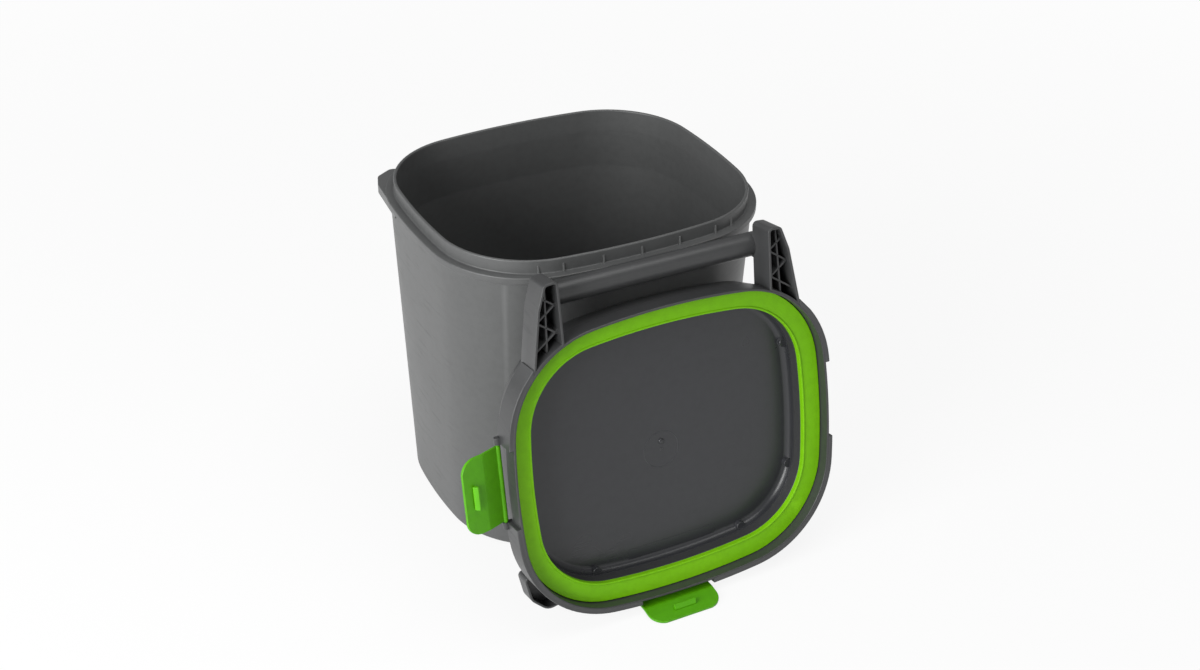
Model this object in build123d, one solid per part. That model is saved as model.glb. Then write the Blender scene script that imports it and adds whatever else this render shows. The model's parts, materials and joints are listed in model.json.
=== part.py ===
from build123d import *
import math
import os

# Bin, measured at the neck that the lid fits over (millimetres, floor at z = 0)
neck_half_x = 140.0
neck_half_y = 123.0
neck_end_bow = 607.0
neck_side_bow = 573.0
neck_corner = 80.0
bin_height = 291.0
wall = 2.8
floor_thickness = 3.0
neck_height = 11.5
flange_thickness = 5.5
flange_reach = 7.3
bead_reach = 4.6
bead_height = 3.0
shoulder_reach = 3.3
bottom_half_x = 134.7
bottom_half_y = 118.0
bottom_end_bow = 465.0
bottom_side_bow = 439.0
bottom_corner = 83.0
bottom_edge_chamfer = 4.0
gusset_places = (-85.0, -65.0, -31.0, 3.0, 38.0, 73.0, 91.0)
gusset_height = 7.0
gusset_width = 1.6
gusset_base = 1.6
gusset_tip = 0.4
ear_points = ((146.0, 34.0), (141.5, 84.0), (136.0, 99.0), (121.0, 108.0), (96.0, 96.0), (112.0, 34.0))
ear_round = 7.0
ear_depth = 8.5
web_root = 1.0

# Lid, drawn as it sits on the bin: z = 0 at the face of the ring seal, handle towards -Y
closed_gap = 0.3
skirt_depth = 10.0
skirt_reach = 4.3
skirt_inside = 2.2
skirt_straight = 6.0
lid_top_reach = -0.5
lid_height = 30.0
lid_edge_round = 1.2
lid_wall = 2.1
border_thickness = 2.5
tray_inset = 15.0
tray_depth = 22.0
tray_floor = 2.5
border_width = 15.5
seal_outer = 1.6
seal_inner = -15.0
seal_thickness = 5.0
rib_thickness = 1.5

# Handle, one piece with the lid
bar_radius = 9.8
bar_forward = 148.1
bar_height = 20.3
bar_end = 101.0
arm_points = ((91.5, 92.0), (92.5, 169.0), (104.5, 168.0), (111.5, 148.0), (119.5, 101.0), (119.5, 88.0))
arm_tip_round = 4.0
arm_low = -9.8
arm_high = 15.0
arm_top_thickness = 2.5
arm_rib_count = 5
arm_rib_low = -7.5
arm_rib_slant = 35.0
arm_rib_length = 60.0

# Corner lugs of the lid, over the ears of the bin
lug_points = ((139.0, 75.0), (137.5, 110.0), (118.0, 122.0), (96.0, 117.0), (112.0, 75.0))
lug_round = 9.0
lug_low = 15.0
lug_high = 30.0

# Latches: hinge above the flange, catch under it
latch_hinge_height = 10.0
latch_hinge_out = 0.9
latch_length = 38.0
latch_bend = 18.0
latch_lip_angle = 10.0
latch_thickness = 2.2
latch_face_gap = 0.6
latch_corner = 13.0
side_latch_width = 66.0
side_latch_y = -7.0
rear_latch_width = 66.0
rear_latch_x = -9.0
notch_side_gap = 1.0
barrel_radius = 2.2
trunnion_radius = 1.6
trunnion_length = 3.0
trunnion_gap = 0.05
knuckle_width = 6.0
knuckle_radius = 2.7
notch_depth = 20.0
band_reach = 8.0
band_high = 13.0
catch_width = 20.0
catch_height = 3.0
catch_overlap = 2.1
catch_gap = 0.3

# Rest pose: the lid leans on the front of the bin with its handle up
lid_lean = 11.44
rest_gap = 0.3
left_latch_open = 66.0
right_latch_open = 170.0
rear_latch_open = 8.0
latch_widest = 175.0
bar_samples = 360
back_samples = 60

# Drain grid in the bottom of the bin
grid_thickness = 3.0
grid_over_tap = 2.5
grid_clearance = 1.5
grid_hole_radius = 3.0
grid_pitch = 16.0
grid_margin = 12.0
grid_hole_to_foot = 5.0
grid_foot_radius = 6.0
grid_foot_places = ((-95.0, -40.0), (95.0, -40.0), (-80.0, 72.0), (80.0, 72.0), (0.0, 0.0), (0.0, 88.0))

# Drain tap, low in the front wall
tap_height = 24.0
tap_pad_radius = 19.0
tap_pad_thickness = 1.2
stem_radius = 10.0
stem_gap = 0.4
stem_past_wall = 12.0
washer_radius = 15.0
washer_thickness = 2.0
nut_across_flats = 28.0
nut_thickness = 6.0
shoulder_radius = 15.0
shoulder_thickness = 3.0
barrel_reach = 22.0
tap_barrel_radius = 8.5
housing_radius = 9.5
housing_above = 10.0
housing_below = 10.0
plug_radius = 6.5
plug_gap = 0.05
bore_radius = 4.5
spout_reach = 16.0
spout_radius = 6.5
spout_drop = 15.0
lever_length = 17.0
lever_width = 7.0
lever_height = 11.0
lever_thickness = 4.0
seal_groove_depth = 1.0
seal_groove_height = 2.0
seal_groove_above = 1.5
plug_cap_thickness = 2.0
clip_radius = 8.0
clip_thickness = 1.5

big = 400.0


def along(a, b, distance):
    """The point at a distance from a on the ray through b."""
    span = math.hypot(b[0] - a[0], b[1] - a[1])
    return (a[0] + (b[0] - a[0]) * distance / span, a[1] + (b[1] - a[1]) * distance / span)


class BowedBox:
    """A rounded rectangle with bowed sides: eight tangent arcs whose centres hold for every offset."""

    def __init__(self, half_x, half_y, end_bow, side_bow, corner):
        self.half_x = half_x
        self.half_y = half_y
        self.end_bow = end_bow
        self.side_bow = side_bow
        self.corner = corner
        self.end_centre = (0.0, half_y - end_bow)
        self.side_centre = (half_x - side_bow, 0.0)
        end_to_corner = end_bow - corner
        side_to_corner = side_bow - corner
        step = (self.side_centre[0], -self.end_centre[1])
        span = math.hypot(*step)
        down_line = (end_to_corner**2 - side_to_corner**2 + span**2) / (2 * span)
        across = math.sqrt(end_to_corner**2 - down_line**2)
        unit = (step[0] / span, step[1] / span)
        self.corner_centre = (
            unit[0] * down_line + unit[1] * across,
            self.end_centre[1] + unit[1] * down_line - unit[0] * across,
        )

    def wire(self, offset, z):
        """The closed outline at an offset from the reference size, at height z."""
        on_end = along(self.end_centre, self.corner_centre, self.end_bow + offset)
        on_side = along(self.side_centre, self.corner_centre, self.side_bow + offset)
        chord_middle = ((on_end[0] + on_side[0]) / 2, (on_end[1] + on_side[1]) / 2)
        on_corner = along(self.corner_centre, chord_middle, self.corner + offset)
        quarter = [(self.half_x + offset, 0.0), on_side, on_corner, on_end, (0.0, self.half_y + offset)]
        points = list(quarter)
        points += [(-x, y) for x, y in reversed(quarter[:-1])]
        points += [(-x, -y) for x, y in quarter[1:]]
        points += [(x, -y) for x, y in reversed(quarter[:-1])]
        ring = points[:-1]
        count = len(ring)
        edges = []
        for middle in range(0, count, 2):
            trio = [ring[(middle + shift) % count] for shift in (-1, 0, 1)]
            edges.append(Edge.make_three_point_arc(*[(x, y, z) for x, y in trio]))
        return Wire(edges)

    def face(self, offset, z):
        return Face(self.wire(offset, z))

    def prism(self, offset, low, high):
        return extrude(self.face(offset, low), amount=high - low, dir=(0, 0, 1))

    def taper(self, low_offset, low, high_offset, high):
        return Solid.make_loft([self.wire(low_offset, low), self.wire(high_offset, high)], ruled=True)

    def half_y_at(self, x):
        """Half depth at a place x, on the end arc or on the corner arc beyond it."""
        x = abs(x)
        on_end = along(self.end_centre, self.corner_centre, self.end_bow)
        if x < on_end[0]:
            return self.end_centre[1] + math.sqrt(self.end_bow**2 - x**2)
        return self.corner_centre[1] + math.sqrt(self.corner**2 - (x - self.corner_centre[0]) ** 2)


def block(x_range, y_range, z_range):
    """A box from its limits."""
    size = [limits[1] - limits[0] for limits in (x_range, y_range, z_range)]
    middle = [(limits[0] + limits[1]) / 2 for limits in (x_range, y_range, z_range)]
    return Pos(*middle) * Box(*size)


def rod(start, direction, radius, length):
    """A cylinder from a start point along a direction."""
    return push(Plane(origin=start, z_dir=direction), Circle(radius), length)


def outline(points, rounded=(), radius=0.0):
    """A polygon drawn anticlockwise, with chosen corners rounded."""
    pairs = zip(points, points[1:] + points[:1])
    area = sum(a[0] * b[1] - b[0] * a[1] for a, b in pairs)
    drawing = Polygon(*(points if area > 0 else points[::-1]), align=None)
    if not rounded:
        return drawing
    chosen = []
    for index in rounded:
        x, y = points[index]
        chosen.append(min(drawing.vertices(), key=lambda corner: math.hypot(corner.X - x, corner.Y - y)))
    return fillet(chosen, radius)


def push(plane, drawing, length):
    """A prism from a drawing on a plane, along the plane's normal."""
    return extrude(plane * drawing, amount=length, dir=plane.z_dir)


def upright(drawing, low, high):
    """A prism from a flat drawing, between two heights."""
    return push(Plane(origin=(0, 0, low)), drawing, high - low)


def mirrored_x(points):
    return tuple((-x, y) for x, y in points)


neck = BowedBox(neck_half_x, neck_half_y, neck_end_bow, neck_side_bow, neck_corner)
bottom = BowedBox(bottom_half_x, bottom_half_y, bottom_end_bow, bottom_side_bow, bottom_corner)

flange_top = bin_height - neck_height
flange_low = flange_top - flange_thickness
shoulder_height = flange_low - bead_height
nut_radius = nut_across_flats / 2 / math.cos(math.pi / 6)
grid_low = tap_height + nut_radius + grid_over_tap
flange_half_x = neck_half_x + flange_reach
flange_half_y = neck_half_y + flange_reach


def body_loft(inset, low):
    """The tapered body below the flange, moved in by an inset, from a low height up to the shoulder."""
    rise = low / shoulder_height
    foot = BowedBox(
        bottom_half_x + (neck_half_x + shoulder_reach - bottom_half_x) * rise,
        bottom_half_y + (neck_half_y + shoulder_reach - bottom_half_y) * rise,
        bottom_end_bow + (neck_end_bow + shoulder_reach - bottom_end_bow) * rise,
        bottom_side_bow + (neck_side_bow + shoulder_reach - bottom_side_bow) * rise,
        bottom_corner + (neck_corner + shoulder_reach - bottom_corner) * rise,
    )
    return Solid.make_loft([foot.wire(-inset, low), neck.wire(shoulder_reach - inset, shoulder_height)], ruled=True)


def front_wall(z):
    """Where the middle of the front wall's outer face lies at a height."""
    return -(bottom_half_y + (neck_half_y + shoulder_reach - bottom_half_y) * z / shoulder_height)


def bin_gussets():
    """Small webs between the neck and the flange on the front."""
    webs = []
    for x in gusset_places:
        face_y = -neck.half_y_at(x)
        profile = (
            (face_y + web_root, 0.0),
            (face_y - gusset_base, 0.0),
            (face_y - gusset_tip, gusset_height),
            (face_y + web_root, gusset_height),
        )
        plane = Plane(origin=(x - gusset_width / 2, 0, flange_top), x_dir=(0, 1, 0), z_dir=(1, 0, 0))
        webs.append(push(plane, outline(profile), gusset_width))
    return webs


def tap_hole_places():
    outside = front_wall(tap_height) - tap_pad_thickness
    inside = front_wall(tap_height) + wall + tap_pad_thickness
    return outside, inside


def make_bin_body():
    body = body_loft(0.0, bottom_edge_chamfer)
    foot = BowedBox(bottom_half_x, bottom_half_y, bottom_end_bow, bottom_side_bow, bottom_corner)
    low_end = Solid.make_loft(
        [foot.wire(-bottom_edge_chamfer, 0.0), body.faces().sort_by(Axis.Z)[0].outer_wire()], ruled=True
    )
    body = body + low_end
    body = body + neck.prism(bead_reach, shoulder_height, flange_low)
    body = body + neck.prism(flange_reach, flange_low, flange_top)
    body = body + neck.prism(0.0, flange_top, bin_height)
    for points in (ear_points, mirrored_x(ear_points)):
        body = body + upright(outline(points, (1, 2, 3), ear_round), flange_top - ear_depth, flange_top)
    for web in bin_gussets():
        body = body + web
    body = body - body_loft(wall, floor_thickness)
    body = body - neck.prism(-wall, shoulder_height, bin_height + 1.0)
    outside, inside = tap_hole_places()
    pad = rod((0, outside, tap_height), (0, 1, 0), tap_pad_radius, inside - outside)
    body = body + pad
    return body - rod((0, outside - 1, tap_height), (0, 1, 0), stem_radius + stem_gap, inside - outside + 2)


def make_drain_grid():
    room_x = bottom_half_x - wall - grid_clearance
    room_y = bottom_half_y - wall - grid_clearance
    disc = bottom.prism(-wall - grid_clearance, grid_low, grid_low + grid_thickness)
    holes = []
    columns = int(room_x // grid_pitch)
    rows = int(room_y // grid_pitch)
    for column in range(-columns, columns + 1):
        for row in range(-rows, rows + 1):
            x = column * grid_pitch
            y = row * grid_pitch
            out = (abs(x) / (room_x - grid_margin)) ** 3 + (abs(y) / (room_y - grid_margin)) ** 3
            to_feet = min(math.hypot(x - foot_x, y - foot_y) for foot_x, foot_y in grid_foot_places)
            if out < 1 and to_feet >= grid_foot_radius + grid_hole_to_foot:
                holes.append((x, y))
    circles = Sketch() + [Pos(x, y) * Circle(grid_hole_radius) for x, y in holes]
    drills = upright(circles, grid_low - 1, grid_low + grid_thickness + 1)
    grid = disc - drills
    for x, y in grid_foot_places:
        grid = grid + rod((x, y, floor_thickness), (0, 0, 1), grid_foot_radius, grid_low + 1 - floor_thickness)
    return grid


def ring_of(inner, outer, start, length):
    """A plain ring along Y."""
    tube = rod(start, (0, 1, 0), outer, length)
    return tube - rod((start[0], start[1] - 1, start[2]), (0, 1, 0), inner, length + 2)


def make_tap():
    """The drain tap, its seals and its nut, about a stem through the front wall."""
    outside, inside = tap_hole_places()
    seat = outside - washer_thickness
    housing_y = seat - shoulder_thickness - barrel_reach
    spout_y = housing_y - spout_reach
    tail = inside + stem_past_wall
    height = tap_height

    body = rod((0, seat, height), (0, 1, 0), stem_radius, tail - seat)
    body = body + rod((0, seat - shoulder_thickness, height), (0, 1, 0), shoulder_radius, shoulder_thickness)
    body = body + rod((0, housing_y, height), (0, 1, 0), tap_barrel_radius, seat - housing_y)
    housing_low = height - housing_below
    housing_high = height + housing_above
    body = body + rod((0, housing_y, housing_low), (0, 0, 1), housing_radius, housing_high - housing_low)
    body = body + rod((0, spout_y, height), (0, 1, 0), spout_radius, spout_reach)
    body = body + Pos(0, spout_y, height) * Sphere(spout_radius)
    body = body + rod((0, spout_y, height), (0, 0, -1), spout_radius, spout_drop)
    body = body - rod((0, spout_y, height), (0, 1, 0), bore_radius, tail - spout_y + 1)
    body = body - Pos(0, spout_y, height) * Sphere(bore_radius)
    body = body - rod((0, spout_y, height), (0, 0, -1), bore_radius, spout_drop + 1)
    chamber = rod((0, housing_y, housing_low - 1), (0, 0, 1), plug_radius + plug_gap, housing_high - housing_low + 2)
    body = body - chamber

    groove_low = height + bore_radius + seal_groove_above
    neck_radius = plug_radius - seal_groove_depth
    clip_high = housing_low - rest_gap
    plug = rod((0, housing_y, clip_high), (0, 0, 1), plug_radius, housing_high + rest_gap - clip_high)
    plug = plug - rod((0, housing_y, groove_low), (0, 0, 1), plug_radius + 1, seal_groove_height)
    plug = plug + rod((0, housing_y, clip_high - clip_thickness - 1), (0, 0, 1), neck_radius, clip_thickness + 2)
    plug = plug + rod((0, housing_y, groove_low - 1), (0, 0, 1), neck_radius, seal_groove_height + 2)
    plug = plug - rod((-plug_radius - 1, housing_y, height), (1, 0, 0), bore_radius, 2 * plug_radius + 2)
    plug = plug + rod((0, housing_y, housing_high + rest_gap), (0, 0, 1), housing_radius, plug_cap_thickness)
    lever = SlotOverall(2 * lever_length, lever_width)
    lever_low = housing_high + rest_gap
    plug = plug + upright(Pos(0, housing_y) * lever, lever_low, lever_low + lever_height)

    def flat_ring(inner, outer, low, high):
        return upright(Pos(0, housing_y) * (Circle(outer) - Circle(inner)), low, high)

    plug_seal = flat_ring(neck_radius, plug_radius + plug_gap / 2, groove_low, groove_low + seal_groove_height)
    clip = flat_ring(neck_radius, clip_radius, clip_high - clip_thickness, clip_high)
    outer_seal = ring_of(stem_radius + stem_gap, washer_radius, (0, seat, height), washer_thickness)
    inner_seal = ring_of(stem_radius + stem_gap, washer_radius, (0, inside, height), washer_thickness)
    nut_plane = Plane(origin=(0, inside + washer_thickness, height), x_dir=(1, 0, 0), z_dir=(0, 1, 0))
    nut = push(nut_plane, RegularPolygon(nut_radius, 6), nut_thickness)
    nut = nut - rod((0, inside, height), (0, 1, 0), stem_radius + plug_gap, nut_thickness + 2 * washer_thickness)
    return {
        "tap_body": body,
        "tap_plug": plug,
        "tap_plug_seal": plug_seal,
        "tap_clip": clip,
        "tap_seal_outer": outer_seal,
        "tap_seal_inner": inner_seal,
        "tap_nut": nut,
    }


taper_slope = (skirt_reach - lid_top_reach) / (lid_height - skirt_straight)
channel_top = lid_height - border_thickness
seal_wall_out = lid_wall - tray_inset


def lid_outside():
    """The lid's outer form: upright skirt, sloping side and a broken top edge."""
    edge = lid_height - lid_edge_round
    edge_reach = skirt_reach - taper_slope * (edge - skirt_straight)
    form = neck.prism(skirt_reach, -skirt_depth, skirt_straight)
    form = form + neck.taper(skirt_reach, skirt_straight, edge_reach, edge)
    return form + neck.taper(edge_reach, edge, edge_reach - lid_edge_round, lid_height)


def seal_channel():
    """The hollow between the skirt and the tray wall, above the ring seal."""
    top_reach = skirt_reach - taper_slope * (channel_top - skirt_straight) - lid_wall
    room = neck.prism(skirt_reach - lid_wall, seal_thickness, skirt_straight)
    room = room + neck.taper(skirt_reach - lid_wall, skirt_straight, top_reach, channel_top)
    return room - neck.prism(seal_wall_out, seal_thickness - 1, lid_height)


def flipped(points):
    """Points given towards the handle, turned to the lid's own -Y."""
    return tuple((x, -y) for x, y in points)


def arm_outline(side):
    points = tuple((side * x, y) for x, y in flipped(arm_points))
    return outline(points, (1, 2), arm_tip_round)


def arm_room(side, outside):
    """The ribbed channel of one handle arm, open on its low side."""
    inner = offset(arm_outline(side), amount=-lid_wall, kind=Kind.INTERSECTION)
    return upright(inner, arm_low - 1, arm_high - arm_top_thickness) - outside


def arm_ribs(side, room):
    """One lengthwise web and a zigzag of cross webs inside an arm."""
    root = (arm_points[0][0] + arm_points[5][0]) / 2, arm_points[0][1]
    tip = (arm_points[1][0] + arm_points[3][0]) / 2, arm_points[2][1]
    length = math.hypot(tip[0] - root[0], tip[1] - root[1])
    heading = math.degrees(math.atan2(tip[1] - root[1], tip[0] - root[0]))
    middle = ((root[0] + tip[0]) / 2, (root[1] + tip[1]) / 2)
    height = arm_high - arm_rib_low
    level = (arm_high + arm_rib_low) / 2
    webs = Pos(side * middle[0], -middle[1], level) * Rot(0, 0, -side * heading) * Box(length, rib_thickness, height)
    for index in range(arm_rib_count):
        share = (index + 1.2) / (arm_rib_count + 1)
        place = (root[0] + (tip[0] - root[0]) * share, root[1] + (tip[1] - root[1]) * share)
        slant = arm_rib_slant if index % 2 else -arm_rib_slant
        web = Pos(side * place[0], -place[1], level) * Rot(0, 0, slant) * Box(arm_rib_length, rib_thickness, height)
        webs = webs + web
    return webs & room


def lug_form(side, grow, low, high):
    points = tuple((side * x, y) for x, y in lug_points)
    drawing = outline(points, (1, 2), lug_round)
    if grow:
        drawing = offset(drawing, amount=grow, kind=Kind.INTERSECTION)
    return upright(drawing, low, high)


side_hinge = flange_half_x + latch_hinge_out
rear_hinge = flange_half_y + latch_hinge_out
latch_sides = {
    "latch_left": ((-side_hinge, side_latch_y), 90.0, side_latch_width, left_latch_open),
    "latch_right": ((side_hinge, side_latch_y), -90.0, side_latch_width, right_latch_open),
    "latch_rear": ((rear_latch_x, rear_hinge), 0.0, rear_latch_width, rear_latch_open),
}


def latch_place(name):
    """A latch's hinge frame on the lid: X along the hinge, Y outwards."""
    (x, y), turn, width, opened = latch_sides[name]
    return Pos(x, y, latch_hinge_height) * Rot(0, 0, turn)


def notch_half(width):
    return width / 2 + notch_side_gap


def edge_band():
    """The proud lower edge of the skirt, left out behind the latches and from arm to arm."""
    band = neck.prism(band_reach, -skirt_depth, band_high) - neck.prism(skirt_reach - lid_wall / 2, -big, big)
    for name in latch_sides:
        half = notch_half(latch_sides[name][2])
        band = band - latch_place(name) * block((-half, half), (-notch_depth, notch_depth), (-big, big))
    return band - block((-arm_points[4][0], arm_points[4][0]), (-big, 0.0), (-big, big))


def knuckles(name):
    """The pair of ears on the skirt that carry a latch's trunnions."""
    half = notch_half(latch_sides[name][2])
    root = -flange_reach - latch_hinge_out + skirt_reach - lid_wall
    pair = Part()
    for side in (-1, 1):
        start = half if side > 0 else -half - knuckle_width
        ear = block((start, start + knuckle_width), (root, 0.0), (-knuckle_radius, knuckle_radius))
        ear = ear + rod((start, 0, 0), (1, 0, 0), knuckle_radius, knuckle_width)
        pair = pair + ear
    return latch_place(name) * pair


def trunnion_sockets(name):
    """The bore through both ears, a running fit round the trunnions."""
    reach = notch_half(latch_sides[name][2]) + trunnion_length
    return latch_place(name) * rod((-reach, 0, 0), (1, 0, 0), trunnion_radius + trunnion_gap, 2 * reach)


def make_lid_shell():
    """The lid's ring: skirt and its edge band, border, tray wall, corner lugs and latch ears."""
    outside = lid_outside()
    lid = outside
    for side in (-1, 1):
        lid = lid + lug_form(side, 0.0, lug_low, lug_high)
    lid = lid - neck.prism(skirt_inside, -big, seal_thickness)
    lid = lid - seal_channel()
    lid = lid - neck.prism(-tray_inset, -big, big)
    for side in (-1, 1):
        lid = lid - (lug_form(side, -lid_wall, lug_low - 1, lug_high - border_thickness) - outside)
    lid = lid + edge_band()
    for name in latch_sides:
        lid = lid + knuckles(name)
        lid = lid - trunnion_sockets(name)
    return lid


def make_lid_panel():
    """The floor of the tray, which fills the ring."""
    return neck.prism(-tray_inset, tray_depth, tray_depth + tray_floor)


def make_lid_handle():
    """Two ribbed arms that run into the ring, and the bar between them on its two seats."""
    outside = lid_outside()
    handle = rod((-bar_end, -bar_forward, bar_height), (1, 0, 0), bar_radius, 2 * bar_end)
    for side in (-1, 1):
        ends = sorted((side * arm_points[1][0], side * bar_end))
        seat = (-bar_forward - bar_radius, -bar_forward + bar_radius)
        handle = handle + block(ends, seat, (arm_high - arm_top_thickness / 2, bar_height))
        room = arm_room(side, outside)
        handle = handle + (upright(arm_outline(side), arm_low, arm_high) - outside - room)
        handle = handle + arm_ribs(side, room)
    return handle


def make_seal():
    ring = neck.prism(seal_outer, 0.0, seal_thickness)
    return ring - neck.prism(seal_inner, -1.0, seal_thickness + 1)


def make_latch(width):
    """A latch in its closed place: hinge along X at the origin, plate hanging down, outside towards +Y."""
    inner = latch_face_gap - latch_hinge_out
    outer = inner + latch_thickness
    lip_run = (latch_length - latch_bend) * math.tan(math.radians(latch_lip_angle))
    profile = (
        (inner, 0.0),
        (outer, 0.0),
        (outer, -latch_bend),
        (outer + lip_run, -latch_length),
        (inner + lip_run, -latch_length),
        (inner, -latch_bend),
    )
    side_plane = Plane(origin=(-width / 2, 0, 0), x_dir=(0, 1, 0), z_dir=(1, 0, 0))
    latch = push(side_plane, outline(profile), width)
    corners = ((-width / 2, big), (width / 2, big), (width / 2, -latch_length), (-width / 2, -latch_length))
    front_plane = Plane(origin=(0, big, 0), x_dir=(1, 0, 0), z_dir=(0, -1, 0))
    latch = latch & push(front_plane, outline(corners, (2, 3), latch_corner), 2 * big)
    latch = latch + rod((-width / 2, 0, 0), (1, 0, 0), barrel_radius, width)
    pin_reach = width / 2 + trunnion_length
    latch = latch + rod((-pin_reach, 0, 0), (1, 0, 0), trunnion_radius, 2 * pin_reach)
    catch_top = flange_low - bin_height - closed_gap - catch_gap - latch_hinge_height
    catch_tip = -latch_hinge_out - catch_overlap
    catch = (
        (catch_tip, catch_top),
        (catch_tip, catch_top - catch_height / 2),
        (inner, catch_top - catch_height),
        (outer, catch_top - catch_height),
        (outer, catch_top),
    )
    catch_plane = Plane(origin=(-catch_width / 2, 0, 0), x_dir=(0, 1, 0), z_dir=(1, 0, 0))
    return latch + push(catch_plane, outline(catch), catch_width)


def turned(y, z, degrees):
    """A point of the YZ plane turned about X."""
    angle = math.radians(degrees)
    return y * math.cos(angle) - z * math.sin(angle), y * math.sin(angle) + z * math.cos(angle)


rest_turn = -90.0 - lid_lean


def bin_front(z):
    """How far the bin reaches towards -Y at a height."""
    if z > flange_top:
        return neck_half_y
    if z > flange_low:
        return flange_half_y
    if z > shoulder_height:
        return neck_half_y + bead_reach
    return -front_wall(z)


def lid_rest_place(lid_pieces):
    """The leaning lid: lowest point just over the floor, slid in until its bar or its back nears the bin."""
    lowest = min((Rot(rest_turn, 0, 0) * piece).bounding_box().min.Z for piece in lid_pieces)
    centre_z = rest_gap - lowest
    back_reach = neck_half_y + lid_top_reach
    back = [(-back_reach * (1 - step / back_samples), lid_height) for step in range(2 * back_samples + 1)]
    for step in range(bar_samples):
        angle = 2 * math.pi * step / bar_samples
        back.append((-bar_forward + bar_radius * math.cos(angle), bar_height + bar_radius * math.sin(angle)))
    stops = []
    for y, z in back:
        reach, rise = turned(y, z, rest_turn)
        if centre_z + rise < bin_height:
            stops.append(-bin_front(centre_z + rise) - rest_gap - reach)
    return min(stops), centre_z


nodes = {"bin_body": make_bin_body(), "drain_grid": make_drain_grid()}
nodes.update(make_tap())
lid_pieces = {
    "lid_shell": make_lid_shell(),
    "lid_panel": make_lid_panel(),
    "lid_handle": make_lid_handle(),
    "lid_seal": make_seal(),
}
for name, (place, turn, width, opened) in latch_sides.items():
    lid_pieces[name] = latch_place(name) * Rot(opened, 0, 0) * make_latch(width)

rest_y, rest_z = lid_rest_place(lid_pieces.values())
lid_rest = Pos(0, rest_y, rest_z) * Rot(rest_turn, 0, 0)
for name, piece in lid_pieces.items():
    nodes[name] = lid_rest * piece

os.makedirs("parts", exist_ok=True)
for name, shape in nodes.items():
    shape.label = name
    export_step(shape, f"parts/{name}.step")
    print(name, len(shape.solids()), "solids", round(shape.volume), "mm3")

# The one axis along X that carries the lid between its closed place and its rest place
turn_down = math.radians(rest_turn)
closed_height = bin_height + closed_gap
shift_y = rest_y - turned(0.0, closed_height, rest_turn)[0]
shift_z = rest_z - turned(0.0, closed_height, rest_turn)[1]
half_cot = 1.0 / math.tan(turn_down / 2)
swing_y = (shift_y - half_cot * shift_z) / 2
swing_z = (shift_z + half_cot * shift_y) / 2
print("lid swing axis", round(swing_y, 4), round(swing_z, 4), "closed at", round(-360.0 - rest_turn, 3))
print("lid centre at rest", round(rest_y, 4), round(rest_z, 4))
for name, ((x, y), turn, width, opened) in latch_sides.items():
    hinge_y, hinge_z = turned(y, latch_hinge_height, rest_turn)
    axis_y, axis_z = turned(math.sin(math.radians(turn)), 0.0, rest_turn)
    place = [round(value, 4) for value in (x, rest_y + hinge_y, rest_z + hinge_z)]
    axis = [round(value, 6) for value in (math.cos(math.radians(turn)), axis_y, axis_z)]
    print(name, "hinge", place, "axis", axis, "range", -opened, latch_widest - opened)
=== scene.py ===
import json
import math

import bmesh
import bpy
from mathutils import Matrix, Vector


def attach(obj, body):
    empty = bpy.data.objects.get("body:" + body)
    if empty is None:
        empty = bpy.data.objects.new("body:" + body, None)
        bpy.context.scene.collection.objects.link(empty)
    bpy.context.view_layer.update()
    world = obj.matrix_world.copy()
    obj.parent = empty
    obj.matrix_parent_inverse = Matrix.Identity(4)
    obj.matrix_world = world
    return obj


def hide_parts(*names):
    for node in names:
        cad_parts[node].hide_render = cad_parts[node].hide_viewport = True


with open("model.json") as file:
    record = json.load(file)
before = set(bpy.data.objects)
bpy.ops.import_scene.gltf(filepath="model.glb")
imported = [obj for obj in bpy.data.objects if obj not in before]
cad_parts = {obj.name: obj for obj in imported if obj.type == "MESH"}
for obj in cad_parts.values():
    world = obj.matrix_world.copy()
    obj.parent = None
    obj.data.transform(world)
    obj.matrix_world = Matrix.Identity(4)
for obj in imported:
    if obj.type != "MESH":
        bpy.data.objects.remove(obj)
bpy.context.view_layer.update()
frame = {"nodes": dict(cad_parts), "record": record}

# Sizes in millimetres, as the solids have them. The bin's base is z = 0 and the handle side is -Y.
NECK = dict(half_x=140.0, half_y=123.0, end_bow=607.0, side_bow=573.0, corner=80.0)
FOOT = dict(half_x=134.7, half_y=118.0, end_bow=465.0, side_bow=439.0, corner=83.0)
ARC_STEPS = dict(side=8, corner=20, end=8)

wide_circle_steps = 64
small_circle_steps = 32

# Where the middle of a rod's rounded edge lies, as a share of the edge
edge_middle = 0.3

# How far inside its outline a flat face's last ring lies
cap_inset = 12.0

# The bin
bin_height = 291.0
wall = 2.8
floor_thickness = 3.0
floor_fillet = 9.0
floor_cap_inset = 6.0
foot_chamfer = 4.0
foot_round = 3.0
shoulder_reach = 3.3
shoulder_height = 271.0
bead_reach = 4.6
flange_low = 274.0
flange_top = 279.5
flange_reach = 7.3
soft_edge = 0.7
bead_round = soft_edge * 0.5
flange_round = soft_edge * 1.4
rim_round = 1.2
neck_cove = 9.0
neck_blend_depth = 36.0
neck_blend_round = 30.0

# Small webs on the front of the neck
neck_web_places = (-85.0, -65.0, -31.0, 3.0, 38.0, 73.0, 91.0)
neck_web_width = 1.6
neck_web_height = 7.0
neck_web_foot = 1.7
neck_web_tip = 0.4
neck_web_in_neck = 1.0
neck_web_in_flange = 0.5
neck_web_edge = 0.3

# The two ears at the back corners of the flange
ear_points = ((136.0, 34.0), (146.0, 34.0), (141.5, 84.0), (136.0, 99.0), (121.0, 108.0), (96.0, 96.0))
ear_rounds = (0.0, 0.0, 7.0, 7.0, 7.0, 0.0)
ear_depth = 8.5
ear_below_flange = 0.25
ear_root_steps = 16

# The tap's pad on the front wall
tap_height = 24.0
tap_pad_radius = 19.0
tap_pad_thickness = 1.2
tap_pad_inner_step = 2.5

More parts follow.
